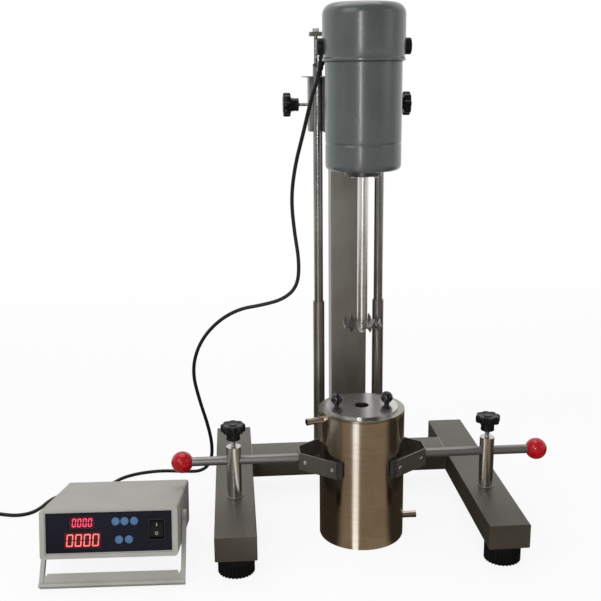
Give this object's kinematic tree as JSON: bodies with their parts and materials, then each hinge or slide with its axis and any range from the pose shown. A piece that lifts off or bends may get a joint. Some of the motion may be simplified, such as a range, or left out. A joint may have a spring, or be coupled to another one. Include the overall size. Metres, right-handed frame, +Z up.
{
  "type": "rotor stator homogenizer",
  "caption": "Bench disperser: motor head on a guided lift, sawtooth disc, clamped jacketed vessel and a speed controller joined by a cable.",
  "frame": {"origin": "on the bench, on the common axis of the motor, the disc and the vessel", "axes": "+X to the operator's right, +Y to the back of the stand, +Z up along the shaft"},
  "size_m": [1.0027, 0.4409, 0.8016],
  "materials": {
    "bare_steel": "satin, lacquered",
    "clamp_steel": "satin grey",
    "ground_rod": "ground and polished",
    "sleeve_steel": "turned",
    "vessel_steel": "polished stainless",
    "foot_plastic": "matt black",
    "motor_paint": "grey-green enamel",
    "black_plastic": "satin black",
    "flange_aluminium": "turned",
    "stator_iron": "stacked laminations",
    "brush_carbon": "pressed carbon",
    "red_ball": "glossy red",
    "pad_rubber": "matt black",
    "case_plastic": "fine texture, light grey-beige",
    "panel_plastic": "blue-black",
    "window_plastic": "dark red",
    "button_plastic": "light blue",
    "board_laminate": "solder-masked",
    "cord_sheath": "satin black"
  },
  "bodies": {
    "stand": {"left_rail": "bare_steel", "right_rail": "bare_steel", "cross_beam": "bare_steel", "column": "bare_steel", "top_yoke": "bare_steel", "guide_rods": "ground_rod", "sleeves": "sleeve_steel", "clamp_posts": "ground_rod", "vessel_jacket": "vessel_steel", "vessel_liner": "vessel_steel", "vessel_nozzles": "vessel_steel", "case_base": "case_plastic", "case_cover": "case_plastic", "front_panel": "panel_plastic", "display_windows": "window_plastic", "circuit_board": "board_laminate", "case_glands": "black_plastic", "motor_cable": "cord_sheath", "mains_cable": "cord_sheath", "mains_coil": "cord_sheath", "mains_plug": "black_plastic"},
    "head": {"motor_bracket": "clamp_steel", "left_clamp_block": "clamp_steel", "right_clamp_block": "clamp_steel", "slide_rods": "ground_rod", "motor_housing": "motor_paint", "motor_cap": "motor_paint", "field_stator": "stator_iron", "motor_bearings": "ground_rod", "brush_caps": "black_plastic", "carbon_brushes": "brush_carbon", "shaft_flange": "flange_aluminium", "motor_cable_gland": "black_plastic"},
    "rotor": {"armature": "ground_rod", "drive_shaft": "ground_rod", "dispersing_disc": "vessel_steel", "disc_nut": "vessel_steel"},
    "lid": {"vessel_lid": "vessel_steel", "lid_knobs": "black_plastic"},
    "bail": {"tilt_bail": "case_plastic"},
    "rocker": {"rocker_switch": "black_plastic"},
    "left_lock_knob": {"left_lock_knob": "black_plastic"},
    "left_post_knob": {"left_post_knob": "black_plastic"},
    "left_arm": {"left_arm": "ground_rod", "left_arm_ball": "red_ball", "left_jaw_pads": "pad_rubber"},
    "left_front_foot": {"left_front_foot": "foot_plastic"},
    "left_rear_foot": {"left_rear_foot": "foot_plastic"},
    "right_lock_knob": {"right_lock_knob": "black_plastic"},
    "right_post_knob": {"right_post_knob": "black_plastic"},
    "right_arm": {"right_arm": "ground_rod", "right_arm_ball": "red_ball", "right_jaw_pads": "pad_rubber"},
    "right_front_foot": {"right_front_foot": "foot_plastic"},
    "right_rear_foot": {"right_rear_foot": "foot_plastic"},
    "button_1": {"button_1": "button_plastic"},
    "button_2": {"button_2": "button_plastic"},
    "button_3": {"button_3": "button_plastic"},
    "button_4": {"button_4": "button_plastic"},
    "button_5": {"button_5": "button_plastic"}
  },
  "joints": [
    {"name": "motor_lift", "type": "slide", "parent": "stand", "child": "head", "axis": [0, 0, 1], "range_m": [-0.095, 0.06], "deforming": ["motor_cable"]},
    {"name": "rotor_spin", "type": "hinge", "parent": "head", "child": "rotor", "pos_m": [0, 0, 0.341], "axis": [0, 0, 1], "continuous": true},
    {"name": "lid_lift", "type": "slide", "parent": "stand", "child": "lid", "axis": [0, 0, 1], "range_m": [0, 0.08]},
    {"name": "bail_fold", "type": "hinge", "parent": "stand", "child": "bail", "pos_m": [-0.37165, -0.07532, 0.07843], "axis": [-0.9995, 0.0314, 0], "range_deg": [0, 150]},
    {"name": "rocker_tilt", "type": "hinge", "parent": "stand", "child": "rocker", "pos_m": [-0.30703, -0.13612, 0.08862], "axis": [0.9995, -0.0314, 0], "range_deg": [0, 16]},
    {"name": "left_lock_turn", "type": "hinge", "parent": "head", "child": "left_lock_knob", "pos_m": [-0.0784, 0.194, 0.657], "axis": [-1, 0, 0], "range_deg": [-360, 0]},
    {"name": "left_post_turn", "type": "hinge", "parent": "stand", "child": "left_post_knob", "pos_m": [-0.198, 0, 0.151], "axis": [0, 0, 1], "range_deg": [0, 360]},
    {"name": "left_arm_slide", "type": "slide", "parent": "stand", "child": "left_arm", "axis": [-1, 0, 0], "range_m": [0, 0.06]},
    {"name": "left_front_foot_turn", "type": "hinge", "parent": "stand", "child": "left_front_foot", "pos_m": [-0.198, -0.103, 0.032], "axis": [0, 0, 1], "range_deg": [-180, 180]},
    {"name": "left_rear_foot_turn", "type": "hinge", "parent": "stand", "child": "left_rear_foot", "pos_m": [-0.198, 0.254, 0.032], "axis": [0, 0, 1], "range_deg": [-180, 180]},
    {"name": "right_lock_turn", "type": "hinge", "parent": "head", "child": "right_lock_knob", "pos_m": [0.0784, 0.194, 0.657], "axis": [1, 0, 0], "range_deg": [-360, 0]},
    {"name": "right_post_turn", "type": "hinge", "parent": "stand", "child": "right_post_knob", "pos_m": [0.198, 0, 0.151], "axis": [0, 0, 1], "range_deg": [0, 360]},
    {"name": "right_arm_slide", "type": "slide", "parent": "stand", "child": "right_arm", "axis": [1, 0, 0], "range_m": [0, 0.06]},
    {"name": "right_front_foot_turn", "type": "hinge", "parent": "stand", "child": "right_front_foot", "pos_m": [0.198, -0.103, 0.032], "axis": [0, 0, 1], "range_deg": [-180, 180]},
    {"name": "right_rear_foot_turn", "type": "hinge", "parent": "stand", "child": "right_rear_foot", "pos_m": [0.198, 0.254, 0.032], "axis": [0, 0, 1], "range_deg": [-180, 180]},
    {"name": "button_1_press", "type": "slide", "parent": "stand", "child": "button_1", "axis": [0.0305, 0.9719, -0.2334], "range_m": [0, 0.0015], "stiffness_N_per_m": 300},
    {"name": "button_2_press", "type": "slide", "parent": "stand", "child": "button_2", "axis": [0.0305, 0.9719, -0.2334], "range_m": [0, 0.0015], "stiffness_N_per_m": 300},
    {"name": "button_3_press", "type": "slide", "parent": "stand", "child": "button_3", "axis": [0.0305, 0.9719, -0.2334], "range_m": [0, 0.0015], "stiffness_N_per_m": 300},
    {"name": "button_4_press", "type": "slide", "parent": "stand", "child": "button_4", "axis": [0.0305, 0.9719, -0.2334], "range_m": [0, 0.0015], "stiffness_N_per_m": 300},
    {"name": "button_5_press", "type": "slide", "parent": "stand", "child": "button_5", "axis": [0.0305, 0.9719, -0.2334], "range_m": [0, 0.0015], "stiffness_N_per_m": 300}
  ]
}
